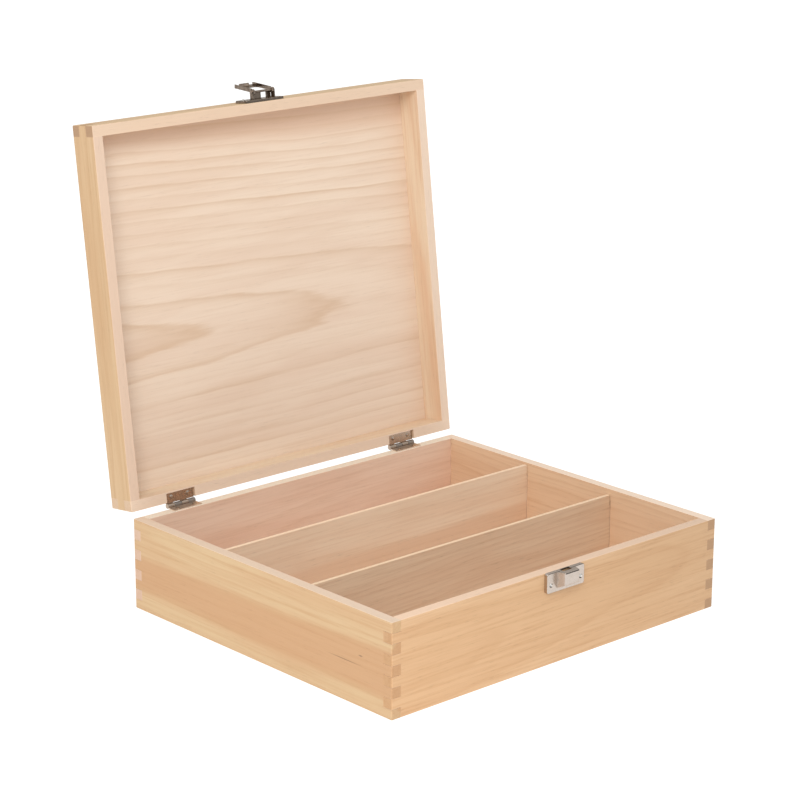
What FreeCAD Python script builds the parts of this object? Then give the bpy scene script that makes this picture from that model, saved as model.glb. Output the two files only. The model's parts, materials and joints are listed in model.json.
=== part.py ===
import FreeCAD, Part
import math
import os

# A finger-jointed wooden box with a hinged lid, two loose dividers, a pair of stop hinges and a
# swinging clasp. Millimetres. The origin is the centre of the underside, +X runs along the front
# to the right, -Y faces the front, +Z is up. Lid parts are drawn with the lid shut and are then
# swung open about the hinge pins, because the box is stored with its lid standing open.

os.makedirs("parts", exist_ok=True)

Vec = FreeCAD.Vector
X_AXIS = Vec(1, 0, 0)
Y_AXIS = Vec(0, 1, 0)
Z_AXIS = Vec(0, 0, 1)

# ---- driving dimensions: the wooden case ----
WIDTH = 350.0             # along X, outside
DEPTH = 310.0             # along Y, outside
WALL = 9.0                # thickness of every board and rail
BASE_HEIGHT = 76.0
LID_HEIGHT = 27.0
LID_SEAT = 0.15           # daylight under the lid when it is shut
BASE_FINGERS = 9          # equal steps up a base corner
LID_FINGERS = 3
FINGER_GAP = 0.16         # daylight between two neighbouring fingers
SOCKET_OVERCUT = 0.4      # how far an end board's sockets are cut past the corner, seen inside
SOCKET_OVERCUT_DEEP = 1.5
REBATE = 4.5              # how far the thin panels reach into the boards
BOTTOM_THICK = 4.0
TOP_THICK = 5.0
SANDED_R = 1.0            # the case's outer edges, rounded once the corners are glued
RIM_R = 0.5               # the same at the two rims, which are touched less

# ---- dividers ----
DIVIDER_THICK = 3.0
DIVIDER_HEIGHT = 67.0
DIVIDER_FRONT_Y = -46.0
DIVIDER_REAR_Y = 51.9
DIVIDER_FRONT_LIFT = 0.2  # height above the floor panel as it stands
DIVIDER_REAR_LIFT = 3.2   # the rear one is pushed in less far
GROOVE_DEEP = 3.0
GROOVE_SLACK = 0.3        # on each side of a divider, and at its tongues' ends
TONGUE_HEIGHT = 57.0      # the part of a divider's end that reaches into a groove
GROOVE_PLAY = 4.9         # a groove is this much taller than a tongue, and stops below the rim
DIVIDER_END_GAP = 0.4     # between a divider's full-height end and the side board

# ---- hinges ----
LID_OPEN_ANGLE = 97.0
HINGE_X = {"left": -125.0, "right": 117.0}
HINGE_LENGTH = 28.0
HINGE_SHEET = 0.8
PIN_BEHIND = 3.0          # pin axis behind the back face
PIN_ABOVE = 1.5           # pin axis above the base rim
BARREL_R = 2.0
HINGE_PIN_R = 1.15
KNUCKLES = 4
KNUCKLE_GAP = 0.25
LEAF_INSET = 7.4          # how far a leaf reaches in from the back face
MORTISE_SLACK = 0.4       # round the leaves, at each end and at the front
LID_LEAF_END = 0.8        # the lid leaf's plate ends this far behind the back face
TAIL_DROP = 2.9           # base tail's top face below the pin axis
TAIL_END = 4.5            # base tail's end behind the pin axis
LID_TAIL_LENGTH = 5.5
TAIL_INSET = 4.0          # the tails stop this far short of the hinge's ends
LEAF_NAIL_X = 8.5
LEAF_NAIL_INSET = 4.0

# ---- nails ----
NAIL_SHANK_R = 0.75
NAIL_POINT = 2.0
LEAF_NAIL_HEAD_R = 1.8
LEAF_NAIL_HEAD_H = 0.5
LEAF_NAIL_LENGTH = 8.0
PLATE_NAIL_HEAD_R = 1.9
PLATE_NAIL_HEAD_H = 0.9
PLATE_NAIL_LENGTH = 9.0
PLATE_NAIL_X = 16.0

# ---- catch plate on the base front ----
PLATE_WIDTH = 40.0
PLATE_SHEET = 0.8
PLATE_CORNER_R = 1.8
PLATE_EDGE_R = 0.6
CATCH_HEIGHT = 16.0
CATCH_DEPTH = 3.5
NOSE_OUT = 10.5           # nose face from the wood
NOSE_FACE_HALF = 7.4
NOSE_FOOT_HALF = 10.2
NOSE_FACE_BOTTOM = 66.0
NOSE_FOOT_BOTTOM = 62.6
NOSE_TOP_DROP = 0.3       # below the rim
NOSE_EDGE_R = 1.1
NOSE_SLOT_HALF = 4.6
NOSE_SLOT_OUT = (0.9, 5.2)
CATCH_NAIL_Z = 66.5

# ---- clasp on the lid front ----
CLASP_RIM_GAP = 1.0       # plate's lower edge above the shut rim
CLASP_HEIGHT = 15.5
CLASP_DEPTH = 2.2
CLASP_NAIL_UP = 9.5
CLASP_PIN_UP = 4.5        # pin axis above the shut rim
CLASP_PIN_OUT = 8.4       # pin axis from the wood
CLASP_PIN_R = 0.98
CLASP_PIN_HEAD_R = 1.6
CLASP_PIN_HEAD = 0.4
EAR_IN = 10.55
EAR_THICK = 1.0
EAR_R = 2.1
WEB_BACK = 2.5            # web behind the pin axis
WEB_TOP_OUT = 7.3
WEB_SPANS = ((-10.55, 0.2), (5.7, 10.55))

# ---- clasp strap ----
STRAP_REST_ANGLE = 9.0    # raised from the lid front when folded back
STRAP_SHEET = 1.2
STRAP_HALF = 10.4
STRAP_LENGTH = 25.0       # from the pin axis to the far end
STRAP_CORNER_R = 2.6
STRAP_EYE_R = 2.2
STRAP_EYE_SLACK = 0.05
STRAP_START = 1.4         # the sheet starts this far from the pin axis
WINDOW_HALF = 8.9
WINDOW_END = 17.6         # from the pin axis
WINDOW_R = 3.2
FLANGE_SHEET = 1.1
FLANGE_RISE = 2.5         # from the strap's middle plane, away from the lid
LIP_HALF = 4.9
LIP_SLIT = 0.35           # sheet cut away at each side of the lip
LIP_START = 20.6
LIP_R = 4.2
LIP_ANGLE = 62.0

# ---- worked out from the above ----
HALF_W = WIDTH / 2
HALF_D = DEPTH / 2
IN_X = HALF_W - WALL
IN_Y = HALF_D - WALL
LID_LOW = BASE_HEIGHT + LID_SEAT
LID_TOP = LID_LOW + LID_HEIGHT
PIN_Y = HALF_D + PIN_BEHIND
PIN_Z = BASE_HEIGHT + PIN_ABOVE
KNUCKLE_LENGTH = HINGE_LENGTH / KNUCKLES
CLASP_PIN_Y = -HALF_D - CLASP_PIN_OUT
CLASP_PIN_Z = BASE_HEIGHT + CLASP_PIN_UP
LID_LEAF_LOW = PIN_Z + PIN_ABOVE - HINGE_SHEET


def box(x0, x1, y0, y1, z0, z1):
    """A block between three pairs of limits, given in any order."""
    low = Vec(min(x0, x1), min(y0, y1), min(z0, z1))
    return Part.makeBox(abs(x1 - x0), abs(y1 - y0), abs(z1 - z0), low)


def rod_x(x0, x1, y, z, radius):
    """A round rod along X."""
    return Part.makeCylinder(radius, x1 - x0, Vec(x0, y, z), X_AXIS)


def joined(shapes):
    """One solid from overlapping or touching solids."""
    first = shapes[0]
    rest = shapes[1:]
    if rest:
        first = first.multiFuse(rest)
    return first.removeSplitter()


def without(shape, cutters):
    """The shape with every cutter taken away."""
    for cutter in cutters:
        shape = shape.cut(cutter)
    return shape


def opened(shape):
    """A lid part drawn shut, swung to where it stands with the lid open."""
    moved = shape.copy()
    moved.rotate(Vec(0, PIN_Y, PIN_Z), X_AXIS, -LID_OPEN_ANGLE)
    return moved


def save(node, shape):
    """Writes one named sub-part, and says what it holds."""
    shape.exportStep("parts/" + node + ".step")
    print(node, len(shape.Solids), "solids", round(shape.Volume, 1), "mm3", shape.isValid())


# ---------------------------------------------------------------- boards

def finger_limits(low, height, count, index):
    """Bottom and top of one finger, a hair short of its neighbours."""
    step = height / count
    bottom = low + index * step
    top = bottom + step
    if index > 0:
        bottom += FINGER_GAP / 2
    if index < count - 1:
        top -= FINGER_GAP / 2
    return bottom, top


def side_board(side, low, height, count, first):
    """A left (-1) or right (+1) board. Its fingers are every second step, from first."""
    pieces = [box(side * IN_X, side * HALF_W, -IN_Y, IN_Y, low, low + height)]
    for index in range(first, count, 2):
        bottom, top = finger_limits(low, height, count, index)
        for end in (-1, 1):
            pieces.append(box(side * IN_X, side * HALF_W, end * IN_Y, end * HALF_D, bottom, top))
    return joined(pieces)


def end_board(end, low, height, count, first):
    """A front (-1) or back (+1) board. Its fingers are every second step, from first."""
    pieces = [box(-IN_X, IN_X, end * IN_Y, end * HALF_D, low, low + height)]
    for index in range(first, count, 2):
        bottom, top = finger_limits(low, height, count, index)
        for side in (-1, 1):
            pieces.append(box(side * IN_X, side * HALF_W, end * IN_Y, end * HALF_D, bottom, top))
    overcuts = []
    for index in range(1 - first, count, 2):
        bottom, top = finger_limits(low, height, count, index)
        for side in (-1, 1):
            overcuts.append(box(side * IN_X, side * (IN_X - SOCKET_OVERCUT),
                                end * IN_Y, end * (IN_Y + SOCKET_OVERCUT_DEEP), bottom, top))
    return without(joined(pieces), overcuts)


def sanded_case(low, height, rim_z):
    """The block that a base or lid was sanded down to: outer edges rounded, less at its rim."""
    case = box(-HALF_W, HALF_W, -HALF_D, HALF_D, low, low + height)
    plain = [edge for edge in case.Edges if abs(edge.BoundBox.Center.z - rim_z) > 1]
    case = case.makeFillet(SANDED_R, plain)
    rim = [edge for edge in case.Edges
           if abs(edge.BoundBox.ZMin - rim_z) < 0.01 and abs(edge.BoundBox.ZMax - rim_z) < 0.01]
    return case.makeFillet(RIM_R, rim)


def let_in_panel(low, thick):
    """A thin panel that fills the rebate between the four boards."""
    reach_x = IN_X + REBATE
    reach_y = IN_Y + REBATE
    return box(-reach_x, reach_x, -reach_y, reach_y, low, low + thick)


def divider_grooves(side):
    """Two upright grooves in a side board, stopped below the rim."""
    half = DIVIDER_THICK / 2 + GROOVE_SLACK
    grooves = []
    for y in (DIVIDER_FRONT_Y, DIVIDER_REAR_Y):
        grooves.append(box(side * IN_X, side * (IN_X + GROOVE_DEEP), y - half, y + half,
                           BOTTOM_THICK, BOTTOM_THICK + TONGUE_HEIGHT + GROOVE_PLAY))
    return grooves


def divider(y, lift):
    """A thin board whose two end tongues stand in a pair of stopped grooves."""
    end = IN_X - DIVIDER_END_GAP
    reach = IN_X + GROOVE_DEEP - GROOVE_SLACK
    low = BOTTOM_THICK + lift
    y0 = y - DIVIDER_THICK / 2
    y1 = y + DIVIDER_THICK / 2
    board = box(-end, end, y0, y1, low, low + DIVIDER_HEIGHT)
    tongues = box(-reach, reach, y0, y1, low, low + TONGUE_HEIGHT)
    return joined([board, tongues])


# ---------------------------------------------------------------- nails

def nail(head_r, head_h, length):
    """A round-head nail: its head rises from z=0 and its shank points down."""
    shoulder = Vec(head_r, 0, 0)
    top = Vec(0, 0, head_h)
    sphere_r = (head_r ** 2 + head_h ** 2) / (2 * head_h)
    half_turn = math.asin(head_r / sphere_r) / 2
    middle = Vec(sphere_r * math.sin(half_turn), 0, head_h - sphere_r * (1 - math.cos(half_turn)))
    dome = Part.Arc(top, middle, shoulder).toShape()
    below = [shoulder, Vec(NAIL_SHANK_R, 0, 0), Vec(NAIL_SHANK_R, 0, NAIL_POINT - length),
             Vec(0, 0, -length), top]
    edges = [dome]
    for start, end in zip(below, below[1:]):
        edges.append(Part.makeLine(start, end))
    face = Part.Face(Part.Wire(edges))
    return face.revolve(Vec(0, 0, 0), Z_AXIS, 360)


def nail_hole(length):
    """The hole that a nail's shank fills."""
    return Part.makeCylinder(NAIL_SHANK_R, length, Vec(0, 0, -length), Z_AXIS)


def leaf_nail_places():
    """X and Y of the four nails in the leaves of one side of both hinges."""
    y = HALF_D - LEAF_NAIL_INSET
    return [(HINGE_X[name] + step, y) for name in HINGE_X for step in (-LEAF_NAIL_X, LEAF_NAIL_X)]


def base_leaf_nails(make):
    """What make gives, standing at each nail of the base leaves, heads up."""
    made = []
    for x, y in leaf_nail_places():
        shape = make.copy()
        shape.translate(Vec(x, y, BASE_HEIGHT + HINGE_SHEET))
        made.append(shape)
    return made


def lid_leaf_nails(make):
    """What make gives, at each nail of the lid leaves, heads down."""
    made = []
    for x, y in leaf_nail_places():
        shape = make.copy()
        shape.rotate(Vec(0, 0, 0), X_AXIS, 180)
        shape.translate(Vec(x, y, LID_LEAF_LOW))
        made.append(shape)
    return made


def plate_nails(make, out, z):
    """What make gives, at the two nails of a plate on the front, heads forward."""
    made = []
    for x in (-PLATE_NAIL_X, PLATE_NAIL_X):
        shape = make.copy()
        shape.rotate(Vec(0, 0, 0), X_AXIS, 90)
        shape.translate(Vec(x, -HALF_D - out, z))
        made.append(shape)
    return made


# ---------------------------------------------------------------- hinges

def knuckle_limits(centre, index):
    """Ends along X of one knuckle, counted from the left."""
    start = centre - HINGE_LENGTH / 2 + index * KNUCKLE_LENGTH
    return start + KNUCKLE_GAP / 2, start + KNUCKLE_LENGTH - KNUCKLE_GAP / 2


def curl(x0, x1, leaf_z0, leaf_z1, leaf_y):
    """One knuckle: a tube round the pin, and the tab that joins it to its leaf."""
    tab = box(x0, x1, leaf_y, PIN_Y - BARREL_R + HINGE_SHEET, leaf_z0, leaf_z1)
    tube = joined([rod_x(x0, x1, PIN_Y, PIN_Z, BARREL_R), tab])
    return tube.cut(rod_x(x0, x1, PIN_Y, PIN_Z, BARREL_R - HINGE_SHEET))


def base_leaf(centre):
    """The leaf on the rim: a plate, a step down behind the wood, a stop tail and two knuckles."""
    x0 = centre - HINGE_LENGTH / 2
    x1 = centre + HINGE_LENGTH / 2
    low = BASE_HEIGHT
    high = BASE_HEIGHT + HINGE_SHEET
    tail_top = PIN_Z - TAIL_DROP
    tail_low = tail_top - HINGE_SHEET
    step_end = HALF_D + HINGE_SHEET
    pieces = [
        box(x0, x1, HALF_D - LEAF_INSET, step_end, low, high),
        box(x0 + TAIL_INSET, x1 - TAIL_INSET, HALF_D, step_end, tail_low, high),
        box(x0 + TAIL_INSET, x1 - TAIL_INSET, HALF_D, PIN_Y + TAIL_END, tail_low, tail_top),
    ]
    for index in range(1, KNUCKLES, 2):
        start, end = knuckle_limits(centre, index)
        pieces.append(curl(start, end, low, high, HALF_D))
    return joined(pieces)


def lid_leaf(centre):
    """The leaf in the lid, drawn shut: a plate, two knuckles and the tails that stop on the base."""
    x0 = centre - HINGE_LENGTH / 2
    x1 = centre + HINGE_LENGTH / 2
    low = LID_LEAF_LOW
    high = low + HINGE_SHEET
    plate_end = HALF_D + LID_LEAF_END
    pieces = [box(x0, x1, HALF_D - LEAF_INSET, plate_end, low, high)]
    for index in range(0, KNUCKLES, 2):
        start, end = knuckle_limits(centre, index)
        pieces.append(curl(start, end, low, high, plate_end - HINGE_SHEET))
        pieces.append(box(max(start, x0 + TAIL_INSET), end, PIN_Y + BARREL_R - HINGE_SHEET,
                          PIN_Y + BARREL_R, PIN_Z, PIN_Z + LID_TAIL_LENGTH))
    return joined(pieces)


def hinge_mortise(centre):
    """The recess in the lid's back rail that takes both leaves when the lid is shut."""
    half = HINGE_LENGTH / 2 + MORTISE_SLACK
    return box(centre - half, centre + half, HALF_D - LEAF_INSET - MORTISE_SLACK, HALF_D,
               BASE_HEIGHT, LID_LEAF_LOW + HINGE_SHEET)


def hinge_pin(centre):
    """The pin through all four knuckles of one hinge."""
    half = HINGE_LENGTH / 2
    return rod_x(centre - half, centre + half, PIN_Y, PIN_Z, HINGE_PIN_R)


# ---------------------------------------------------------------- catch and clasp

def edges_along(shape, axis):
    """The straight edges that run along one axis."""
    found = []
    for edge in shape.Edges:
        line = edge.Vertexes[-1].Point - edge.Vertexes[0].Point
        if line.Length > 0 and line.normalize().cross(axis).Length < 1e-6:
            found.append(edge)
    return found


def front_edges(shape, y):
    """The edges that lie in the plane at y."""
    return [edge for edge in shape.Edges if abs(edge.BoundBox.YMin - y) + abs(edge.BoundBox.YMax - y) < 1e-6]


def stamped_plate(z0, z1, out):
    """A shallow pan, open towards the wood, with rounded corners and a rounded front edge."""
    half = PLATE_WIDTH / 2
    front = -HALF_D - out
    outside = box(-half, half, front, -HALF_D, z0, z1)
    outside = outside.makeFillet(PLATE_CORNER_R, edges_along(outside, Y_AXIS))
    outside = outside.makeFillet(PLATE_EDGE_R, front_edges(outside, front))
    inside = box(-half + PLATE_SHEET, half - PLATE_SHEET, front + PLATE_SHEET, -HALF_D,
                 z0 + PLATE_SHEET, z1 - PLATE_SHEET)
    inside = inside.makeFillet(PLATE_CORNER_R - PLATE_SHEET, edges_along(inside, Y_AXIS))
    return outside.cut(inside)


def tapered(foot_half, foot_y, foot_low, face_half, face_y, face_low, top):
    """A block that narrows from its foot on the plate to its front face, flat on top."""
    wires = []
    for half, y, low in ((foot_half, foot_y, foot_low), (face_half, face_y, face_low)):
        corners = [Vec(-half, y, low), Vec(half, y, low), Vec(half, y, top), Vec(-half, y, top)]
        wires.append(Part.makePolygon(corners + corners[:1]))
    return Part.makeLoft(wires, True, True)


def catch_plate():
    """The plate on the base front, with the hollow nose that the strap drops over."""
    top = BASE_HEIGHT - NOSE_TOP_DROP
    plate_face = -HALF_D - CATCH_DEPTH
    inner_face = plate_face + PLATE_SHEET
    nose_face = -HALF_D - NOSE_OUT
    plate = stamped_plate(BASE_HEIGHT - CATCH_HEIGHT, BASE_HEIGHT, CATCH_DEPTH)
    nose = tapered(NOSE_FOOT_HALF, inner_face, NOSE_FOOT_BOTTOM,
                   NOSE_FACE_HALF, nose_face, NOSE_FACE_BOTTOM, top)
    nose = nose.makeFillet(NOSE_EDGE_R, front_edges(nose, nose_face))
    hollow = tapered(NOSE_FOOT_HALF - PLATE_SHEET, inner_face, NOSE_FOOT_BOTTOM + PLATE_SHEET,
                     NOSE_FACE_HALF - PLATE_SHEET, nose_face + PLATE_SHEET,
                     NOSE_FACE_BOTTOM + PLATE_SHEET, top - PLATE_SHEET)
    slot = box(-NOSE_SLOT_HALF, NOSE_SLOT_HALF, -HALF_D - NOSE_SLOT_OUT[0],
               -HALF_D - NOSE_SLOT_OUT[1], top - 2 * PLATE_SHEET, BASE_HEIGHT)
    holes = plate_nails(nail_hole(PLATE_NAIL_LENGTH), CATCH_DEPTH, CATCH_NAIL_Z)
    return without(joined([plate, nose]), [hollow, slot] + holes)


def clasp_plate():
    """The plate on the lid front, drawn shut, with two ears for the pin and a web behind them."""
    low = BASE_HEIGHT + CLASP_RIM_GAP
    inner_face = -HALF_D - CLASP_DEPTH + PLATE_SHEET
    pieces = [stamped_plate(low, low + CLASP_HEIGHT, CLASP_DEPTH)]
    for side in (-1, 1):
        x0 = min(side * EAR_IN, side * (EAR_IN + EAR_THICK))
        pieces.append(box(x0, x0 + EAR_THICK, inner_face, CLASP_PIN_Y,
                          CLASP_PIN_Z - EAR_R, CLASP_PIN_Z + EAR_R))
        pieces.append(rod_x(x0, x0 + EAR_THICK, CLASP_PIN_Y, CLASP_PIN_Z, EAR_R))
    web_z = CLASP_PIN_Z + WEB_BACK
    for x0, x1 in WEB_SPANS:
        pieces.append(box(x0, x1, inner_face, -HALF_D - WEB_TOP_OUT, web_z, web_z + PLATE_SHEET))
    pin_hole = rod_x(-HALF_W, HALF_W, CLASP_PIN_Y, CLASP_PIN_Z, CLASP_PIN_R)
    holes = plate_nails(nail_hole(PLATE_NAIL_LENGTH), CLASP_DEPTH, low + CLASP_NAIL_UP)
    return without(joined(pieces), [pin_hole] + holes)


def clasp_pin():
    """The pin through the ears, with a small riveted head outside each."""
    reach = EAR_IN + EAR_THICK
    end = reach + CLASP_PIN_HEAD
    pieces = [
        rod_x(-end, end, CLASP_PIN_Y, CLASP_PIN_Z, CLASP_PIN_R),
        rod_x(-end, -reach, CLASP_PIN_Y, CLASP_PIN_Z, CLASP_PIN_HEAD_R),
        rod_x(reach, end, CLASP_PIN_Y, CLASP_PIN_Z, CLASP_PIN_HEAD_R),
    ]
    return joined(pieces)


def strap_lip():
    """The finger lip in the strap's far end: a tab bent away from the lid along an arc."""
    half_sheet = STRAP_SHEET / 2
    centre_y = CLASP_PIN_Y - LIP_R
    start_z = CLASP_PIN_Z + LIP_START
    edges = []
    corners = []
    for radius in (LIP_R - half_sheet, LIP_R + half_sheet):
        points = []
        for share in (0, 0.5, 1):
            turn = math.radians(LIP_ANGLE * share)
            points.append(Vec(-LIP_HALF, centre_y + radius * math.cos(turn), start_z + radius * math.sin(turn)))
        edges.append(Part.Arc(*points).toShape())
        corners.append((points[0], points[2]))
    edges.append(Part.makeLine(corners[0][0], corners[1][0]))
    edges.append(Part.makeLine(corners[0][1], corners[1][1]))
    face = Part.Face(Part.Wire(Part.__sortEdges__(edges)))
    return face.extrude(Vec(2 * LIP_HALF, 0, 0))


def far_corners(shape, z):
    """The edges along Y within a millimetre of the height z."""
    return [edge for edge in edges_along(shape, Y_AXIS) if abs(edge.BoundBox.ZMin - z) < 1]


def strap_sheet():
    """The strap's flanged outline: a sheet with its two long edges turned away from the lid."""
    half_sheet = STRAP_SHEET / 2
    end = CLASP_PIN_Z + STRAP_LENGTH
    back = CLASP_PIN_Y + half_sheet
    front = CLASP_PIN_Y - FLANGE_RISE
    inner = STRAP_HALF - FLANGE_SHEET
    outline = box(-STRAP_HALF, STRAP_HALF, front, back, CLASP_PIN_Z + STRAP_START, end)
    outline = outline.makeFillet(STRAP_CORNER_R, far_corners(outline, end))
    pan = box(-inner, inner, front - 1, CLASP_PIN_Y - half_sheet, CLASP_PIN_Z, end + 1)
    return outline.cut(pan)


def clasp_strap():
    """The strap, drawn straight up the shut lid and then raised: a pan with eyes, a window and a lip."""
    half_sheet = STRAP_SHEET / 2
    back = CLASP_PIN_Y + half_sheet + 1
    front = CLASP_PIN_Y - half_sheet - 1
    window_end = CLASP_PIN_Z + WINDOW_END
    window = box(-WINDOW_HALF, WINDOW_HALF, front, back, CLASP_PIN_Z - STRAP_EYE_R, window_end)
    window = window.makeFillet(WINDOW_R, far_corners(window, window_end))
    tab = LIP_HALF + LIP_SLIT
    slit = box(-tab, tab, front, back, CLASP_PIN_Z + LIP_START, CLASP_PIN_Z + STRAP_LENGTH + 1)
    sheet = without(strap_sheet(), [window, slit])
    pieces = [sheet, strap_lip()]
    for side in (-1, 1):
        x0 = min(side * WINDOW_HALF, side * STRAP_HALF)
        pieces.append(rod_x(x0, x0 + STRAP_HALF - WINDOW_HALF, CLASP_PIN_Y, CLASP_PIN_Z, STRAP_EYE_R))
    strap = joined(pieces)
    strap = strap.cut(rod_x(-HALF_W, HALF_W, CLASP_PIN_Y, CLASP_PIN_Z, CLASP_PIN_R + STRAP_EYE_SLACK))
    strap.rotate(Vec(0, CLASP_PIN_Y, CLASP_PIN_Z), X_AXIS, STRAP_REST_ANGLE)
    return strap


# ---------------------------------------------------------------- the whole box

def build_base():
    """Everything that stays on the table."""
    case = sanded_case(0, BASE_HEIGHT, BASE_HEIGHT)
    floor = let_in_panel(0, BOTTOM_THICK)
    leaf_holes = base_leaf_nails(nail_hole(LEAF_NAIL_LENGTH))
    catch_holes = plate_nails(nail_hole(PLATE_NAIL_LENGTH), CATCH_DEPTH, CATCH_NAIL_Z)
    for name, side in (("left", -1), ("right", 1)):
        board = side_board(side, 0, BASE_HEIGHT, BASE_FINGERS, 0)
        board = board.common(case)
        save("base_" + name + "_panel", without(board, [floor] + divider_grooves(side)))
    front = end_board(-1, 0, BASE_HEIGHT, BASE_FINGERS, 1).common(case)
    save("base_front_panel", without(front, [floor] + catch_holes))
    back = end_board(1, 0, BASE_HEIGHT, BASE_FINGERS, 1).common(case)
    save("base_back_panel", without(back, [floor] + leaf_holes))
    save("base_bottom_panel", floor)
    for name, centre in HINGE_X.items():
        save("hinge_" + name + "_base_leaf", without(base_leaf(centre), leaf_holes))
    save("hinge_base_nails",
         Part.makeCompound(base_leaf_nails(nail(LEAF_NAIL_HEAD_R, LEAF_NAIL_HEAD_H, LEAF_NAIL_LENGTH))))
    save("catch_plate", catch_plate())
    plate_nail = nail(PLATE_NAIL_HEAD_R, PLATE_NAIL_HEAD_H, PLATE_NAIL_LENGTH)
    save("catch_plate_nails", Part.makeCompound(plate_nails(plate_nail, CATCH_DEPTH, CATCH_NAIL_Z)))


def build_lid():
    """The lid with its half of the hinges and the clasp plate."""
    case = sanded_case(LID_LOW, LID_HEIGHT, LID_LOW)
    panel = let_in_panel(LID_TOP - TOP_THICK, TOP_THICK)
    leaf_holes = lid_leaf_nails(nail_hole(LEAF_NAIL_LENGTH))
    clasp_nail_z = BASE_HEIGHT + CLASP_RIM_GAP + CLASP_NAIL_UP
    clasp_holes = plate_nails(nail_hole(PLATE_NAIL_LENGTH), CLASP_DEPTH, clasp_nail_z)
    for name, side in (("left", -1), ("right", 1)):
        rail = side_board(side, LID_LOW, LID_HEIGHT, LID_FINGERS, 1).common(case)
        save("lid_" + name + "_rail", opened(rail.cut(panel)))
    front = end_board(-1, LID_LOW, LID_HEIGHT, LID_FINGERS, 0).common(case)
    save("lid_front_rail", opened(without(front, [panel] + clasp_holes)))
    back = end_board(1, LID_LOW, LID_HEIGHT, LID_FINGERS, 0).common(case)
    mortises = [hinge_mortise(centre) for centre in HINGE_X.values()]
    save("lid_back_rail", opened(without(back, [panel] + mortises + leaf_holes)))
    save("lid_top_panel", opened(panel))
    for name, centre in HINGE_X.items():
        save("hinge_" + name + "_lid_leaf", opened(without(lid_leaf(centre), leaf_holes)))
        save("hinge_" + name + "_pin", hinge_pin(centre))
    leaf_nail = nail(LEAF_NAIL_HEAD_R, LEAF_NAIL_HEAD_H, LEAF_NAIL_LENGTH)
    save("hinge_lid_nails", opened(Part.makeCompound(lid_leaf_nails(leaf_nail))))
    save("clasp_plate", opened(clasp_plate()))
    plate_nail = nail(PLATE_NAIL_HEAD_R, PLATE_NAIL_HEAD_H, PLATE_NAIL_LENGTH)
    save("clasp_plate_nails", opened(Part.makeCompound(plate_nails(plate_nail, CLASP_DEPTH, clasp_nail_z))))
    save("clasp_pin", opened(clasp_pin()))
    save("clasp_strap", opened(clasp_strap()))


def build_dividers():
    """The two loose boards between the compartments."""
    save("divider_front", divider(DIVIDER_FRONT_Y, DIVIDER_FRONT_LIFT))
    save("divider_rear", divider(DIVIDER_REAR_Y, DIVIDER_REAR_LIFT))


build_base()
build_lid()
build_dividers()
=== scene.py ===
"""The look of a finger-jointed wooden box with an open lid, two dividers, two hinges and a clasp.

Every CAD node stays as it is and gets eased edges and a procedural material. Lengths are metres,
and millimetres inside the wood's grain, where the numbers are easier to read.
"""

import json
import math
from types import SimpleNamespace

import bpy
from mathutils import Matrix, Vector


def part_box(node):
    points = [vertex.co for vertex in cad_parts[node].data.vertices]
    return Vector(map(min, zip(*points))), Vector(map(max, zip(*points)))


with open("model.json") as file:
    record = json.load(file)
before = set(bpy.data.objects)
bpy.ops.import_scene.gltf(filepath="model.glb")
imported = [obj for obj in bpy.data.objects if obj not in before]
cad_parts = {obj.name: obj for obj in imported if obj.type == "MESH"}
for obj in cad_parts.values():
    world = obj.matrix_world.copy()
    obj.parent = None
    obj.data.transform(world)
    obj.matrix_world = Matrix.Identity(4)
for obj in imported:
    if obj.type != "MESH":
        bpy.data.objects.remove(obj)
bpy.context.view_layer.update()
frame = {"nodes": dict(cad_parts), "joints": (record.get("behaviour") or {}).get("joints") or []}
NODES = frame["nodes"]

MM = 0.001


X, Y, Z = Vector((1, 0, 0)), Vector((0, 1, 0)), Vector((0, 0, 1))
WHITE = (1, 1, 1, 1)


def joint(name):
    """One joint of the record, by name."""
    return next(j for j in frame["joints"] if j["name"] == name)


# The lid stands open in the frame. This turn lays it shut, where its boards are square to the axes.
LID_SHUT = Matrix.Rotation(math.radians(max(joint("lid_hinge")["range_deg"])), 3, "X")
NO_TURN = Matrix.Identity(3)


# ---------------------------------------------------------------- node helpers

# The sockets of a Mix node that mixes colours.
MIX_SHARE, MIX_ONE, MIX_OTHER = 0, 6, 7
MIX_COLOUR = 2


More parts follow.
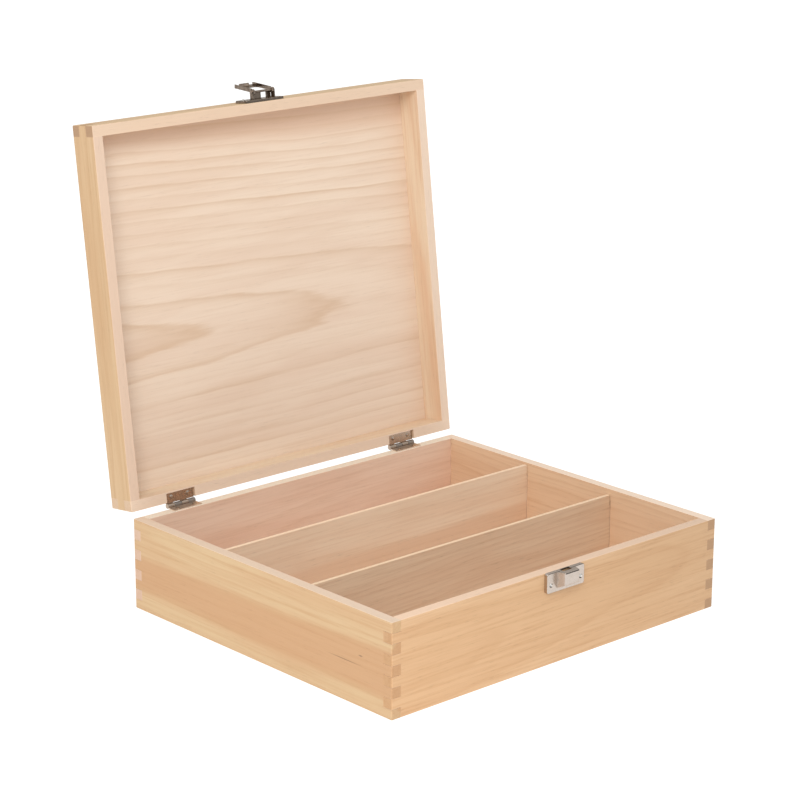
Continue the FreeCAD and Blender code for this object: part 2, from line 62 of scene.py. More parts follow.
class Graph:
    """Short ways to add and link shader nodes in one node tree."""

    def __init__(self, tree):
        self.tree = tree
        self.nodes = tree.nodes

    def add(self, kind, inputs=None, **settings):
        """A node with its settings, and its inputs linked or given as values."""
        node = self.nodes.new(kind)
        for key, value in settings.items():
            setattr(node, key, value)
        for key, value in (inputs or {}).items():
            self.feed(node.inputs[key], value)
        return node

    def feed(self, socket, value):
        """Links an output socket, or sets a plain value."""
        if isinstance(value, bpy.types.NodeSocket):
            self.tree.links.new(value, socket)
        else:
            socket.default_value = value

    def math(self, operation, *values, clamp=False):
        """A Math node's result."""
        node = self.add("ShaderNodeMath", dict(enumerate(values)), operation=operation)
        node.use_clamp = clamp
        return node.outputs[0]

    def plus(self, value, other, factor):
        """A value plus another one times a factor."""
        return self.math("ADD", value, self.math("MULTIPLY", other, factor))

    def swing(self, noise, size):
        """Noise from 0 to 1, centred on zero and given a size from its lowest to its highest."""
        return self.math("MULTIPLY_ADD", noise, size, -size / 2)

    def toned(self, level, mask, change):
        """A level, changed by a share of itself where the mask is 1."""
        return self.math("MULTIPLY", level, self.math("MULTIPLY_ADD", mask, change, 1.0))

    def vector(self, operation, *values):
        """A Vector Math node's vector result."""
        node = self.add("ShaderNodeVectorMath", dict(enumerate(values)), operation=operation)
        return node.outputs[0]

    def dot(self, one, other):
        """A dot product."""
        node = self.add("ShaderNodeVectorMath", {0: one, 1: other}, operation="DOT_PRODUCT")
        return node.outputs["Value"]

    def parts(self, at):
        """A vector's three numbers."""
        return self.add("ShaderNodeSeparateXYZ", {0: at}).outputs

    def ramp(self, value, low, high, to_low=0.0, to_high=1.0, smooth=True):
        """The value's place between two limits, carried to two new limits."""
        limits = {"Value": value, "From Min": low, "From Max": high,
                  "To Min": to_low, "To Max": to_high}
        kind = "SMOOTHSTEP" if smooth else "LINEAR"
        node = self.add("ShaderNodeMapRange", limits, interpolation_type=kind)
        return node.outputs["Result"]

    def noise(self, at, scale, detail, roughness, distortion=0.0, output="Fac"):
        """Fractal noise, 0 to 1, at a point."""
        node = self.add("ShaderNodeTexNoise", {"Vector": at, "Scale": scale, "Detail": detail,
                                               "Roughness": roughness, "Distortion": distortion})
        return node.outputs[output]

    def stretch(self, at, along, across, thick):
        """The point with its three axes scaled."""
        return self.vector("MULTIPLY", at, (along, across, thick))

    def mix(self, share, one, other, blend="MIX"):
        """Two colours mixed."""
        node = self.add("ShaderNodeMix", data_type="RGBA", blend_type=blend)
        self.feed(node.inputs[MIX_SHARE], share)
        self.feed(node.inputs[MIX_ONE], one)
        self.feed(node.inputs[MIX_OTHER], other)
        return node.outputs[MIX_COLOUR]

    def dimmed(self, colour, level):
        """A colour times a grey level."""
        grey = self.add("ShaderNodeCombineXYZ", {0: level, 1: level, 2: level})
        return self.mix(1.0, colour, grey.outputs[0], "MULTIPLY")

    def bump(self, height, strength, distance):
        """A shader normal bent by a height."""
        node = self.add("ShaderNodeBump", {"Height": height, "Strength": strength,
                                           "Distance": distance})
        return node.outputs[0]


def new_material(name):
    """An empty node material: its graph and its shader."""
    material = bpy.data.materials.new(name)
    material.use_nodes = True
    tree = material.node_tree
    tree.nodes.clear()
    graph = Graph(tree)
    shader = graph.add("ShaderNodeBsdfPrincipled")
    output = graph.add("ShaderNodeOutputMaterial")
    tree.links.new(shader.outputs[0], output.inputs["Surface"])
    return material, graph, shader


def rgb(red, green, blue):
    """A screen colour, 0 to 255, as the linear colour that the shader wants."""
    linear = []
    for value in (red, green, blue):
        share = value / 255
        linear.append(share / 12.92 if share <= 0.04045 else ((share + 0.055) / 1.055) ** 2.4)
    return (*linear, 1.0)


# ---------------------------------------------------------------- wood

# Each palette: between the rings, a ring's dark line, the warmer zones, and a board's narrow faces,
# whose paler colour is partly the edge grain's own and partly a painted highlight on the top rims.
LEFT_SIDE = dict(pale=rgb(214, 184, 143), line=rgb(192, 145, 101),
                 warm=rgb(202, 157, 117), rim=rgb(229, 206, 184))
FRONT_SIDE = dict(pale=rgb(216, 179, 140), line=rgb(192, 146, 103),
                  warm=rgb(205, 163, 121), rim=rgb(236, 206, 180))
# INSIDE, RIGHT_SIDE, LID_RAIL and LID_FRONT are paler copies of the wood: painted light that offsets
# the shade inside the box.
INSIDE = dict(pale=rgb(237, 210, 188), line=rgb(212, 173, 143),
              warm=rgb(227, 190, 165), rim=rgb(239, 226, 207))
DIVIDER_FRONT_WOOD = dict(pale=rgb(224, 200, 172), line=rgb(200, 164, 131),
                          warm=rgb(214, 181, 151), rim=rgb(239, 211, 179))
DIVIDER_REAR_WOOD = dict(pale=rgb(238, 216, 190), line=rgb(214, 178, 145),
                         warm=rgb(228, 196, 166), rim=rgb(244, 216, 186))
# Painted light: a paler copy for the right board's inner face.
RIGHT_SIDE = dict(pale=rgb(235, 207, 175), line=rgb(210, 169, 130),
                  warm=rgb(225, 190, 156), rim=rgb(242, 220, 199))
LID_PANEL = dict(pale=rgb(233, 212, 191), line=rgb(210, 178, 147),
                 warm=rgb(219, 189, 165), rim=rgb(232, 211, 190))
# Painted light: paler copies for the lid rails' inner faces, against the shade between them.
LID_RAIL = dict(pale=rgb(233, 212, 185), line=rgb(213, 173, 136),
                warm=rgb(226, 192, 160), rim=rgb(229, 205, 183))
LID_FRONT = dict(LID_RAIL, rim=rgb(223, 195, 169))
LID_OUTER = dict(pale=rgb(211, 179, 140), line=rgb(190, 148, 105),
                 warm=rgb(203, 165, 124), rim=rgb(223, 196, 174))

END_TINT = (1.0, 0.90, 0.80, 1.0)     # end grain soaks up more colour than a face
END_TINT_GAIN = 2.4                   # the tint's share, for each unit of a look's ends
RIM_SHARE = 0.9

# Noise in the wood: cycles per millimetre along and across the board, and the noise's own settings.
SWAY = dict(along=0.006, across=0.008, detail=1.0, roughness=0.4)
RIPPLE = dict(along=0.010, across=0.09, detail=3.0, roughness=0.55)
JAG = dict(along=0.05, across=0.35, detail=2.0, roughness=0.5)
FADE = dict(along=0.008, across=0.05, detail=2.0, roughness=0.5)
PATCH = dict(along=0.006, across=0.045, detail=3.0, roughness=0.55, distortion=0.3)
STREAK = dict(along=0.012, across=0.42, detail=4.0, roughness=0.6)
FIBRE = dict(along=0.07, across=2.4, detail=3.0, roughness=0.6)
PORE = dict(along=0.11, across=2.2, detail=1.0, roughness=0.4)
RUB = dict(along=0.05, across=0.2, detail=3.0, roughness=0.6)
SEED_STEP = 137.0          # how far along its noise one seed lies from the next, in millimetres

# How far noise moves a ring, in rings, and the edge of a warm zone, in millimetres.
RIPPLE_SIZE = 0.50
JAG_SIZE = 0.10
ZONE_BLUR = 5.0

# A ring's darkness over its year: a slow and a sharp rise, each (power, share), then a quick drop.
SLOW_RISE = (2.0, 0.25)
SHARP_RISE = (5.0, 0.75)
DROP_FROM = 0.86
YEAR_DARKNESS = (0.25, 1.25)     # from the palest year to the darkest
FADE_DARKNESS = (0.45, 1.1)      # where the rings fade, and where they don't

# Where each mask begins and where it is full, as noise or as the cosine of a surface's angle.
FADE_LIMITS = (0.25, 0.65)
PATCH_LIMITS = (0.36, 0.68)
STREAK_LIMITS = (0.42, 0.78)
PORE_LIMITS = (0.62, 0.74)
PORE_STREAK_LIMITS = (0.40, 0.60)
END_LIMITS = (0.55, 0.85)
NARROW_LIMITS = (0.55, 0.90)
OUTSIDE_LIMITS = (0.5, 0.9)
FLECK_LIMITS = (1.0, 0.2)

# How much each thing lightens or darkens the wood.
FIBRE_TONE = 0.10
STREAK_TONE = 0.42
PORE_TONE = -0.13
WORN_TONE = 0.05
FLECK_TONE = -0.45

WORN_REACH = (2.3, 0.7)    # millimetres from an edge: where rubbing begins, and where it is full
RUB_SIZE = 1.8

WOOD_ROUGHNESS = 0.54
FIBRE_ROUGHNESS = 0.14
LATE_ROUGHNESS = -0.07
END_ROUGHNESS = 0.12
WOOD_SPECULAR = 0.3

FIBRE_HEIGHT = 0.6
PORE_HEIGHT = -0.8
LATE_HEIGHT = 0.35
WOOD_BUMP = dict(strength=0.35, distance=0.06 * MM)

BOARD_AXES = {"front_back": (X, Z), "sides": (Y, Z), "panel": (X, Y)}

# A board's look. PLAIN_LOOK holds what a look may leave out.
#   colours  its palette, and seed what sets its noise apart from the other boards'
#   kind     which way the board lies, and turn the turn that makes it square to the axes
#   pith     the log's heart line (across, thick) from the board's centre, in millimetres
#   tilt     the heart line's drift from one end to the other, and sway how much it wanders
#   ring     the rings' spacing in millimetres, and lines how dark they are
#   zone     (radius from, radius to, strength) of a warmer zone that follows the rings
#   patches  how strong the loose warm patches are
#   fibres   how strong fibres, streaks and pores are
#   marks    dark flecks: (along, across, half length, half height) in millimetres
#   slope  painted light falloff: how much paler the wood gets from the middle to the far end and to
#       the upper edge
#   ends     how much darker the end grain is
#   outside  (side, tint) of the board's outer face, by its sign through the board: darker and
#   yellower than the inner faces' painted lighter palette
PLAIN_LOOK = dict(turn=NO_TURN, sway=5.0, lines=0.8, zone=None, patches=0.5, fibres=1.0, marks=(),
                  slope=(0.0, 0.0), ends=0.16, outside=None)


def board_frame(node, kind, turn):
    """The turn from the object's axes to a board's own (along, across, thick), and its centre."""
    along, across = BOARD_AXES[kind]
    rows = Matrix((along, across, along.cross(across)))
    low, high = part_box(node)
    return rows @ turn, (low + high) / 2


def half_sizes(node, turn_to_board, centre):
    """Half of a board's length, width and thickness, in millimetres."""
    most = Vector((0, 0, 0))
    for vertex in NODES[node].data.vertices:
        at = turn_to_board @ (vertex.co - centre)
        most = Vector([max(m, abs(a)) for m, a in zip(most, at)])
    return most / MM


def board_point(g, coordinates, turn_to_board, centre):
    """The point in millimetres from the board's centre, along the board's own axes."""
    place = g.add("ShaderNodeMapping", {"Vector": coordinates.outputs["Object"]})
    place.inputs["Rotation"].default_value = turn_to_board.to_euler("XYZ")
    place.inputs["Location"].default_value = -(turn_to_board @ centre) / MM
    place.inputs["Scale"].default_value = (1 / MM, 1 / MM, 1 / MM)
    return place.outputs["Vector"]


def grain_noise(g, at, along, across, **settings):
    """Noise that is drawn out along the board."""
    return g.noise(g.stretch(at, along, across, across), 1.0, **settings)


def ring_radius(g, at, grain_at, length, look):
    """Distance from the log's heart line, which drifts along the board and sways a little."""
    place = g.parts(at)
    slow = g.parts(grain_noise(g, grain_at, output="Color", **SWAY))
    share = g.math("DIVIDE", place[0], length)
    squares = []
    for index in (0, 1):
        line = g.math("MULTIPLY_ADD", share, look.tilt[index], look.pith[index])
        line = g.math("ADD", line, g.swing(slow[index], 2 * look.sway))
        off = g.math("SUBTRACT", place[index + 1], line)
        squares.append(g.math("MULTIPLY", off, off))
    return g.math("SQRT", g.math("ADD", *squares))


def late_wood(g, grain_at, radius, fade, look):
    """The rings, each with its own darkness: a slow rise to a thin line, then pale again."""
    phase = g.math("DIVIDE", radius, look.ring)
    phase = g.math("ADD", phase, g.swing(grain_noise(g, grain_at, **RIPPLE), RIPPLE_SIZE))
    phase = g.math("ADD", phase, g.swing(grain_noise(g, grain_at, **JAG), JAG_SIZE))
    year = g.math("FRACT", phase)
    number = g.math("ADD", g.math("FLOOR", phase), look.seed)
    own = g.add("ShaderNodeTexWhiteNoise", {"W": number}, noise_dimensions="1D").outputs["Value"]
    rise = g.math("MULTIPLY", g.math("POWER", year, SLOW_RISE[0]), SLOW_RISE[1])
    late = g.math("MULTIPLY_ADD", g.math("POWER", year, SHARP_RISE[0]), SHARP_RISE[1], rise)
    late = g.math("MULTIPLY", late, g.ramp(year, 1.0, DROP_FROM))
    late = g.math("MULTIPLY", late, g.ramp(own, 0.0, 1.0, *YEAR_DARKNESS, smooth=False))
    return g.math("MULTIPLY", late, g.ramp(fade, *FADE_LIMITS, *FADE_DARKNESS))


def warm_zones(g, grain_at, radius, fade, look):
    """Where the wood is warmer: loose patches, and a zone that follows the rings."""
    patch = g.ramp(grain_noise(g, grain_at, **PATCH), *PATCH_LIMITS)
    patch = g.math("MULTIPLY", patch, look.patches)
    if not look.zone:
        return patch
    start, full, strength = look.zone
    inside = g.ramp(g.math("ADD", radius, g.swing(fade, ZONE_BLUR)), start, full)
    return g.math("MAXIMUM", patch, g.math("MULTIPLY", inside, strength))


def wood_grain(g, at, grain_at, length, look):
    """Masks of what runs through the wood: late wood, warm zones, streaks, fibres and pores."""
    radius = ring_radius(g, at, grain_at, length, look)
    fade = grain_noise(g, grain_at, **FADE)
    streak = grain_noise(g, grain_at, **STREAK)
    pore = g.ramp(grain_noise(g, grain_at, **PORE), *PORE_LIMITS)
    return SimpleNamespace(
        late=late_wood(g, grain_at, radius, fade, look),
        patch=warm_zones(g, grain_at, radius, fade, look),
        streak=streak,
        fibre=grain_noise(g, grain_at, **FIBRE),
        pore=g.math("MULTIPLY", pore, g.ramp(streak, *PORE_STREAK_LIMITS)))


def edge_distance(g, at, half):
    """Distance from a point on a board's surface to the nearest edge of the board's block."""
    place = g.parts(at)
    gaps = [g.math("SUBTRACT", half[axis], g.math("ABSOLUTE", place[axis])) for axis in range(3)]
    least = g.math("MINIMUM", gaps[0], gaps[1])
    most = g.math("MAXIMUM", gaps[0], gaps[1])
    return g.math("MAXIMUM", least, g.math("MINIMUM", most, gaps[2]))


def facing(g, normal, direction, limits):
    """A mask of the surfaces that face along a direction, either way."""
    return g.ramp(g.math("ABSOLUTE", g.dot(normal, tuple(direction))), *limits)


def wood_faces(g, at, grain_at, normal, turn_to_board, half):
    """Masks of where a surface lies: end grain, narrow faces and edges rubbed pale."""
    rub = grain_noise(g, grain_at, **RUB)
    near = g.plus(edge_distance(g, at, half), rub, RUB_SIZE)
    return SimpleNamespace(
        end=facing(g, normal, turn_to_board[0], END_LIMITS),
        narrow=facing(g, normal, turn_to_board[1], NARROW_LIMITS),
        worn=g.ramp(near, *WORN_REACH))


def flecks(g, at, marks):
    """Dark marks in the wood, each an oval at (along, across) with (half length, half height)."""
    dark = 0.0
    for along, across, long_r, short_r in marks:
        off = g.vector("SUBTRACT", at, (along, across, 0.0))
        off = g.stretch(off, 1 / long_r, 1 / short_r, 0.0)
        length = g.add("ShaderNodeVectorMath", {0: off}, operation="LENGTH").outputs["Value"]
        dark = g.math("MAXIMUM", g.ramp(length, *FLECK_LIMITS), dark)
    return dark


def wood_colour(g, grain, faces, look):
    """The wood's colour before it is toned."""
    colours = look.colours
    base = g.mix(grain.patch, colours["pale"], colours["warm"])
    base = g.mix(g.math("MULTIPLY", grain.late, look.lines, clamp=True), base, colours["line"])
    streak = g.ramp(grain.streak, *STREAK_LIMITS, 0.0, STREAK_TONE * look.fibres)
    base = g.mix(streak, base, colours["line"])
    # Narrow faces take the rim colour: partly the edge grain's own colour, partly a painted highlight
    # on the top rims.
    base = g.mix(g.math("MULTIPLY", faces.narrow, RIM_SHARE), base, colours["rim"])
    deep = g.mix(1.0, colours["warm"], END_TINT, "MULTIPLY")
    share = g.math("MULTIPLY", faces.end, END_TINT_GAIN * look.ends, clamp=True)
    return g.mix(share, base, deep)


def wood_tone(g, grain, faces, at, half, look):
    """How light the wood is, about 1: fibres, pores, end grain, worn edges, painted light falloff and
    marks.
    """
    swing = FIBRE_TONE * look.fibres
    tone = g.math("MULTIPLY_ADD", grain.fibre, swing, 1.0 - swing / 2)
    tone = g.toned(tone, grain.pore, PORE_TONE * look.fibres)
    tone = g.toned(tone, faces.end, -look.ends)
    tone = g.toned(tone, faces.worn, WORN_TONE)
    # Painted light: the wood grows paler or darker towards one end and one edge, as a lamp's falloff
    # would make it.
    if any(look.slope):
        painted_lean = g.dot(at, (look.slope[0] / half.x, look.slope[1] / half.y, 0.0))
        tone = g.math("MULTIPLY", tone, g.math("ADD", painted_lean, 1.0))
    if look.marks:
        tone = g.toned(tone, flecks(g, at, look.marks), FLECK_TONE)
    return tone


def outer_face_tinted(g, base, normal, thick, outside):
    """The colour with a darker, yellower tint on the board's outer face, which keeps it apart from
    the inner faces' painted lighter palette.
    """
    side, tint = outside
    outer = g.ramp(g.dot(normal, tuple(side * thick)), *OUTSIDE_LIMITS)
    return g.mix(outer, base, g.mix(1.0, base, (*tint, 1.0), "MULTIPLY"))


def wood_material(node, look):
    """Solid wood sawn from a log: growth rings round a heart line, fibres, pores and end grain."""
    look = SimpleNamespace(**{**PLAIN_LOOK, **look})
    material, g, shader = new_material("wood." + node)
    turn_to_board, centre = board_frame(node, look.kind, look.turn)
    half = half_sizes(node, turn_to_board, centre)
    coordinates = g.add("ShaderNodeTexCoord")
    normal = coordinates.outputs["Normal"]
    at = board_point(g, coordinates, turn_to_board, centre)
    grain_at = g.vector("ADD", at, (look.seed * SEED_STEP, 0.0, 0.0))
    grain = wood_grain(g, at, grain_at, 2 * half.x, look)
    faces = wood_faces(g, at, grain_at, normal, turn_to_board, half)

    base = g.dimmed(wood_colour(g, grain, faces, look), wood_tone(g, grain, faces, at, half, look))
    # The outer face loses the painted light of a paler inside palette.
    if look.outside:
        base = outer_face_tinted(g, base, normal, turn_to_board[2], look.outside)
    g.feed(shader.inputs["Base Color"], base)

    rough = g.math("MULTIPLY_ADD", grain.fibre, FIBRE_ROUGHNESS, WOOD_ROUGHNESS)
    rough = g.plus(rough, grain.late, LATE_ROUGHNESS)
    rough = g.plus(rough, faces.end, END_ROUGHNESS)
    g.feed(shader.inputs["Roughness"], rough)
    shader.inputs["Specular IOR Level"].default_value = WOOD_SPECULAR

    height = g.math("MULTIPLY", grain.fibre, FIBRE_HEIGHT)
    height = g.plus(height, grain.pore, PORE_HEIGHT)
    height = g.plus(height, grain.late, LATE_HEIGHT)
    g.feed(shader.inputs["Normal"], g.bump(height, **WOOD_BUMP))
    return material


# ---------------------------------------------------------------- metal

METAL_EDGE = rgb(222, 213, 204)       # what the plate reflects at a grazing angle
METAL_SEED_STEP = (31.0, 17.0, 0.0)   # millimetres from one seed's noise to the next
CLOUD = dict(scale=0.35, detail=3.0, roughness=0.55)
CLOUD_LIMITS = (0.35, 0.72)
SPECK = dict(scale=4.5, detail=2.0, roughness=0.5)
SPECK_LIMITS = (0.62, 0.80)
SPECK_TARNISH = 0.2
DRAWING = dict(scale=3.0, detail=3.0, roughness=0.6)
LINE_ROUGHNESS = 0.16
TARNISH_ROUGHNESS = 0.12
LINE_HEIGHT = 0.5
CLOUD_HEIGHT = 1.5
METAL_BUMP = dict(strength=0.25, distance=0.03 * MM)


def metal_material(name, colour, dark, roughness, drawn, seed, cloudy, painted_shade=None):
    """Nickel plate: faint drawing lines, cloudy tarnish and small specks.

    drawn scales the drawing lines' noise along each axis, and cloudy is how strong the tarnish is.
    painted_shade is (coordinate, direction, from, to, strength): painted shade and painted
    reflection, a darker tone for the shade and dark surroundings a plated part would mirror, comes in
    where the normal or the place reaches that far along it.
    """
    material, g, shader = new_material("metal." + name)
    coordinates = g.add("ShaderNodeTexCoord")
    at = g.vector("MULTIPLY", coordinates.outputs["Object"], (1 / MM, 1 / MM, 1 / MM))
    at = g.vector("ADD", at, [seed * step for step in METAL_SEED_STEP])
    cloud = g.noise(at, **CLOUD)
    lines = g.noise(g.stretch(at, *drawn), **DRAWING)
    speck = g.ramp(g.noise(at, **SPECK), *SPECK_LIMITS)
    tarnish = g.math("MULTIPLY", g.ramp(cloud, *CLOUD_LIMITS), cloudy)
    tarnish = g.math("ADD", tarnish, g.math("MULTIPLY", speck, SPECK_TARNISH), clamp=True)
    base = g.mix(tarnish, colour, dark)
    # Painted shade and painted reflection: the colour darkens where the normal or the place reaches
    # along the direction.
    if painted_shade:
        source, toward, start, full, strength = painted_shade
        reach = g.dot(coordinates.outputs[source], toward)
        base = g.dimmed(base, g.ramp(reach, start, full, 1.0, 1.0 - strength))
    g.feed(shader.inputs["Base Color"], base)
    shader.inputs["Metallic"].default_value = 1.0
    shader.inputs["Specular Tint"].default_value = METAL_EDGE

    rough = g.math("MULTIPLY_ADD", lines, LINE_ROUGHNESS, roughness - LINE_ROUGHNESS / 2)
    rough = g.plus(rough, tarnish, TARNISH_ROUGHNESS)
    g.feed(shader.inputs["Roughness"], rough)
    height = g.plus(g.math("MULTIPLY", lines, LINE_HEIGHT), cloud, CLOUD_HEIGHT)
    g.feed(shader.inputs["Normal"], g.bump(height, **METAL_BUMP))
    return material


# ---------------------------------------------------------------- eased edges

SEAM_GAP = 1e-6
SHARP_ANGLE = math.radians(28)
BEVEL_ANGLE = math.radians(50)
BEVEL_SEGMENTS = 2
WOOD_EASE = 0.2 * MM
METAL_EASE = 0.08 * MM


def weld_group():
    """Geometry nodes that close the mesh's seams and mark its sharp edges, for the bevel after it."""
    tree = bpy.data.node_groups.new("closed_seams", "GeometryNodeTree")
    tree.interface.new_socket("Geometry", in_out="INPUT", socket_type="NodeSocketGeometry")
    tree.interface.new_socket("Geometry", in_out="OUTPUT", socket_type="NodeSocketGeometry")
    g = Graph(tree)
    start = g.add("NodeGroupInput").outputs[0]
    plain = g.add("GeometryNodeRemoveAttribute", {"Geometry": start, "Name": "custom_normal"})
    merged = g.add("GeometryNodeMergeByDistance", {"Geometry": plain.outputs[0],
                                                   "Distance": SEAM_GAP})
    soft = g.add("GeometryNodeSetShadeSmooth", {"Geometry": merged.outputs[0],
                                                "Shade Smooth": True}, domain="FACE")
    angle = g.add("GeometryNodeInputMeshEdgeAngle").outputs["Unsigned Angle"]
    sharp = g.math("GREATER_THAN", angle, SHARP_ANGLE)
    hard = g.add("GeometryNodeSetShadeSmooth", {"Geometry": soft.outputs[0], "Selection": sharp,
                                                "Shade Smooth": False}, domain="EDGE")
    end = g.add("NodeGroupOutput")
    g.feed(end.inputs[0], hard.outputs[0])
    return tree


CLOSED_SEAMS = weld_group()


def ease_edges(node, width):
    """Rounds a CAD node's sharp edges by a hair with modifiers. Its mesh isn't changed."""
    piece = NODES[node]
    weld = piece.modifiers.new("closed_seams", "NODES")
    weld.node_group = CLOSED_SEAMS
    bevel = piece.modifiers.new("eased", "BEVEL")
    bevel.width = width
    bevel.segments = BEVEL_SEGMENTS
    bevel.limit_method = "ANGLE"
    bevel.angle_limit = BEVEL_ANGLE
    bevel.miter_outer = "MITER_ARC"
    bevel.use_clamp_overlap = True
    bevel.harden_normals = True


def dress(node, material, ease):
    """Gives a CAD node one material and eased edges."""
    mesh = NODES[node].data
    mesh.materials.clear()
    mesh.materials.append(material)
    ease_edges(node, ease)


# ---------------------------------------------------------------- every board

BOARDS = {
    # Its slope darkens the front board towards its right end and its top edge: painted light falloff.
    "base_front_panel": dict(
        kind="front_back", colours=FRONT_SIDE, pith=(4, 58), tilt=(20, 14), ring=8.5, seed=1.3,
        lines=0.5, zone=(66, 58, 0.5), fibres=1.5, slope=(-0.09, -0.03)),
    "base_back_panel": dict(
        kind="front_back", colours=INSIDE, pith=(-24, -44), tilt=(8, 16), ring=7.0, seed=2.7,
        lines=0.35, zone=(52, 44, 0.7), outside=(-1, (0.94, 0.93, 0.78))),
    "base_left_panel": dict(
        kind="sides", colours=LEFT_SIDE, pith=(-5.5, 30), tilt=(-2, 1.5), ring=4.8, seed=3.1,
        sway=1.2, lines=0.55, zone=(42.0, 36.0, 0.85), patches=0.4, ends=0.06,
        marks=((-121, 2.6, 3.2, 0.9), (-103, -5.2, 24, 0.5))),
    "base_right_panel": dict(
        kind="sides", colours=RIGHT_SIDE, pith=(6, -34), tilt=(-6, 8), ring=5.0, seed=4.9,
        sway=3.0, lines=0.7, zone=(40, 35, 0.6), ends=0.42, outside=(1, (0.92, 0.86, 0.76))),
    "base_bottom_panel": dict(
        kind="panel", colours=INSIDE, pith=(35, 70), tilt=(20, 12), ring=8.0, seed=5.2),
    "divider_front": dict(
        kind="front_back", colours=DIVIDER_FRONT_WOOD, pith=(-90, 30), tilt=(24, 6), ring=4.5,
        seed=6.6, lines=0.5, fibres=1.3),
    "divider_rear": dict(
        kind="front_back", colours=DIVIDER_REAR_WOOD, pith=(-46, 20), tilt=(6, 4), ring=9.0,
        seed=7.4, lines=0.35, zone=(52, 46, 0.9)),
    "lid_front_rail": dict(
        kind="front_back", turn=LID_SHUT, colours=LID_FRONT, pith=(4, 40), tilt=(4, 4), ring=5.0,
        seed=8.1, lines=0.5, ends=0.42, outside=(1, (0.88, 0.80, 0.66))),
    "lid_back_rail": dict(
        kind="front_back", turn=LID_SHUT, colours=LID_RAIL, pith=(-8, 36), tilt=(6, 4), ring=5.0,
        seed=9.5, lines=0.5, outside=(-1, (0.90, 0.84, 0.72))),
    "lid_left_rail": dict(
        kind="sides", turn=LID_SHUT, colours=LID_OUTER, pith=(20, 30), tilt=(4, 4), ring=5.0,
        seed=10.2, sway=2.0, lines=0.5, patches=0.7),
    "lid_right_rail": dict(
        kind="sides", turn=LID_SHUT, colours=LID_RAIL, pith=(-10, 26), tilt=(2, 3), ring=3.4,
        seed=11.8, sway=2.0, lines=1.0, patches=1.0, outside=(1, (0.92, 0.86, 0.76))),
    # Its zone paints a warmer, darker band along the panel's front edge, the top of the open lid:
    # painted shade.
    "lid_top_panel": dict(
        kind="panel", turn=LID_SHUT, colours=LID_PANEL, pith=(27, 44.5), tilt=(6, 17), ring=8.7,
        seed=12.4, sway=3.5, lines=1.0, zone=(150, 168, 1.0), patches=0.35, fibres=0.6),
}

for board, board_look in BOARDS.items():
    dress(board, wood_material(board, board_look), WOOD_EASE)


# ---------------------------------------------------------------- every metal piece

NICKEL = rgb(200, 188, 178)
NICKEL_DARK = rgb(150, 136, 120)

# How the drawing lines run: along X on every plate, and not at all on a nail.
HINGE_DRAWN = (0.3, 3.0, 3.0)
CLASP_DRAWN = (0.4, 2.0, 2.0)
NOT_DRAWN = (1.0, 1.0, 1.0)

# Directions along which a piece's painted shade and painted reflection are placed.
EDGE_UP_AND_OUT = (0.0, -0.707, 0.707)
DOME_LOW_LEFT = (-0.45, -0.30, -0.84)
OPEN_UPWARD = (0.0, -0.12, 0.99)
BACK = (0.0, 1.0, 0.0)

# The base leaves' painted shade darkens their knuckles; it starts a knuckle's half width in front of
# the hinge line.
KNUCKLE_HALF = 2.4 * MM
KNUCKLE_FADE = 0.5 * MM
KNUCKLES_FROM = joint("lid_hinge")["pos_m"][1] - KNUCKLE_HALF
KNUCKLES_FULL = KNUCKLES_FROM + KNUCKLE_FADE

METALS = {
    # A lighter copy of the hinge nickel, painted light where the leaf mirrors dark wood, with painted
    # shade on its knuckles.
    "hinge_base": dict(
        colour=rgb(240, 226, 214), dark=rgb(196, 180, 166), roughness=0.34, drawn=HINGE_DRAWN,
        seed=1.0, cloudy=0.3, painted_shade=("Object", BACK, KNUCKLES_FROM, KNUCKLES_FULL, 0.62)),
    "hinge_lid": dict(
        colour=rgb(186, 168, 152), dark=rgb(134, 116, 102), roughness=0.26, drawn=HINGE_DRAWN,
        seed=5.0, cloudy=0.2),
    # Painted shade: a dark line on the fillets along the top of the plate and the nose, where the
    # normal points up and out.
    "catch": dict(
        colour=NICKEL, dark=NICKEL_DARK, roughness=0.24, drawn=CLASP_DRAWN,
        seed=2.0, cloudy=0.12, painted_shade=("Normal", EDGE_UP_AND_OUT, 0.90, 0.96, 0.75)),
    # A darker copy of the catch's nickel, painted shade for the dark it mirrors; faces that don't
    # point up with the lid open get more painted shade.
    "clasp": dict(
        colour=rgb(168, 152, 138), dark=rgb(84, 72, 62), roughness=0.18, drawn=CLASP_DRAWN,
        seed=3.0, cloudy=0.5, painted_shade=("Normal", OPEN_UPWARD, 0.9, 0.2, 0.35)),
    # Painted shade: the low left side of each nail's dome is darkened, a dark crescent that the dome
    # would mirror.
    "nail": dict(
        colour=rgb(232, 228, 222), dark=NICKEL_DARK, roughness=0.12, drawn=NOT_DRAWN,
        seed=4.0, cloudy=0.15, painted_shade=("Normal", DOME_LOW_LEFT, 0.38, 0.66, 0.88)),
    # Painted shade on the low left side of each dome, as on the other nails.
    "hinge_nail": dict(
        colour=rgb(204, 188, 172), dark=rgb(130, 112, 98), roughness=0.20, drawn=NOT_DRAWN,
        seed=6.0, cloudy=0.4, painted_shade=("Normal", DOME_LOW_LEFT, 0.1, 0.6, 0.5)),
}
METAL_PIECES = {
    "hinge_base": ("hinge_left_base_leaf", "hinge_right_base_leaf"),
    "hinge_lid": ("hinge_left_lid_leaf", "hinge_right_lid_leaf", "hinge_left_pin",
                  "hinge_right_pin"),
    "catch": ("catch_plate",),
    "clasp": ("clasp_plate", "clasp_pin", "clasp_strap"),
    "nail": ("catch_plate_nails", "clasp_plate_nails"),
    "hinge_nail": ("hinge_base_nails", "hinge_lid_nails"),
}

for metal, pieces in METAL_PIECES.items():
    plate = metal_material(metal, **METALS[metal])
    for piece_name in pieces:
        dress(piece_name, plate, METAL_EASE)


# ---------------------------------------------------------------- stage, light and camera

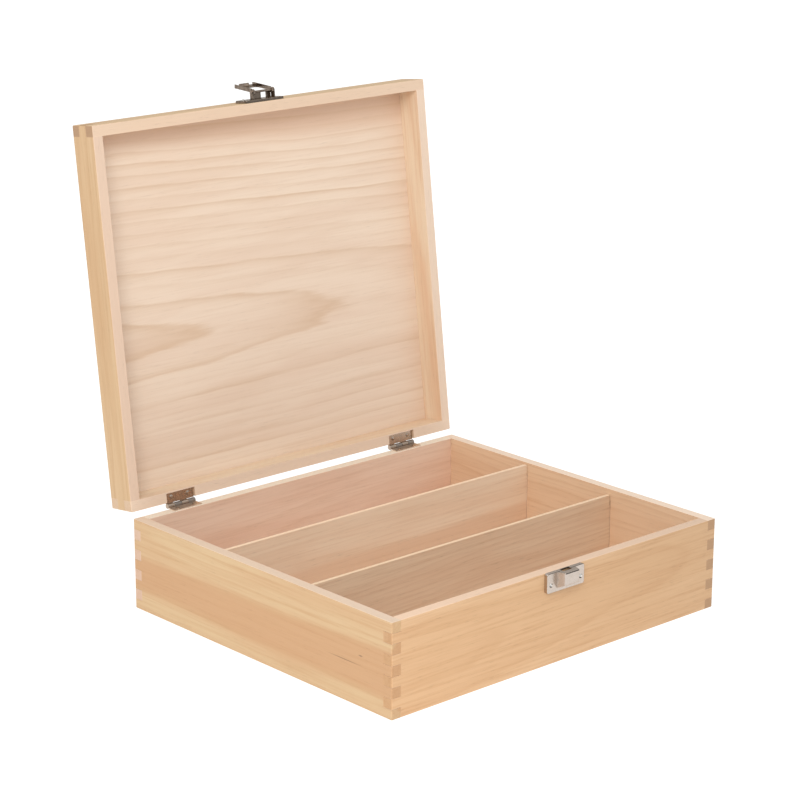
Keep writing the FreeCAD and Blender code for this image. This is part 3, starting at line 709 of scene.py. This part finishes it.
FLOOR_HALF = 12.0
FLOOR_DROP = 0.05 * MM
FLOOR_GREY = (0.32, 0.32, 0.32, 1)
FLOOR_GLOW = 0.88
FLOOR_ROUGHNESS = 0.9

ZENITH_STRENGTH = 0.83
HORIZON_STRENGTH = 0.50
ZENITH_FROM = 0.8          # the height on the sky's dome from which it is at its brightest

KEY_PLACE = (-1.75, -1.55, 1.75)
KEY_AIM = (0, 0, 0.1)
KEY_WIDTH = 1.2
KEY_POWER = 35.5

CAMERA_PLACE = (-1.3304, -1.4395, 0.7446)
CAMERA_YAW = -42.52
CAMERA_PITCH = -16.90
CAMERA_ROLL = 0.274
CAMERA_LENS = 115.99
CAMERA_SENSOR = 36.0
CAMERA_SHIFT = (-0.01975, 0.03925)
CAMERA_REACH = 100.0


def add_to_scene(name, data):
    """A new object in the scene."""
    thing = bpy.data.objects.new(name, data)
    bpy.context.scene.collection.objects.link(thing)
    return thing


def build_floor():
    """A wide pale floor with a glow of its own, so that it stays white under soft light."""
    edge, low = FLOOR_HALF, -FLOOR_DROP
    mesh = bpy.data.meshes.new("floor")
    mesh.from_pydata([(-edge, -edge, low), (edge, -edge, low), (edge, edge, low),
                      (-edge, edge, low)], [], [(0, 1, 2, 3)])
    floor = add_to_scene("floor", mesh)
    material, _, shader = new_material("stage.floor")
    shader.inputs["Base Color"].default_value = FLOOR_GREY
    shader.inputs["Roughness"].default_value = FLOOR_ROUGHNESS
    shader.inputs["Specular IOR Level"].default_value = 0.0
    shader.inputs["Emission Color"].default_value = WHITE
    shader.inputs["Emission Strength"].default_value = FLOOR_GLOW
    mesh.materials.append(material)


def build_world():
    """A white sky, softer towards the horizon."""
    world = bpy.data.worlds.new("studio")
    world.use_nodes = True
    g = Graph(world.node_tree)
    background = g.nodes["Background"]
    rise = g.parts(g.add("ShaderNodeTexCoord").outputs["Generated"])[2]
    strength = g.ramp(rise, 0.0, ZENITH_FROM, HORIZON_STRENGTH, ZENITH_STRENGTH)
    background.inputs["Color"].default_value = WHITE
    g.feed(background.inputs["Strength"], strength)
    bpy.context.scene.world = world


def build_key_light():
    """A square soft light, high on the left and in front."""
    data = bpy.data.lights.new("key", "AREA")
    data.size = KEY_WIDTH
    data.energy = KEY_POWER
    lamp = add_to_scene("key", data)
    lamp.location = KEY_PLACE
    lamp.rotation_euler = (Vector(KEY_AIM) - Vector(KEY_PLACE)).to_track_quat("-Z", "Y").to_euler()


def build_camera():
    """The camera, at the angle from which the box is shown."""
    data = bpy.data.cameras.new("camera")
    data.lens = CAMERA_LENS
    data.sensor_width = CAMERA_SENSOR
    data.shift_x, data.shift_y = CAMERA_SHIFT
    data.clip_end = CAMERA_REACH
    camera = add_to_scene("camera", data)
    turn = (Matrix.Rotation(math.radians(CAMERA_YAW), 3, "Z")
            @ Matrix.Rotation(math.radians(90 + CAMERA_PITCH), 3, "X")
            @ Matrix.Rotation(math.radians(CAMERA_ROLL), 3, "Z"))
    camera.location = CAMERA_PLACE
    camera.rotation_euler = turn.to_euler()
    bpy.context.scene.camera = camera


build_floor()
build_world()
build_key_light()
build_camera()
bpy.context.scene.view_settings.view_transform = "Standard"
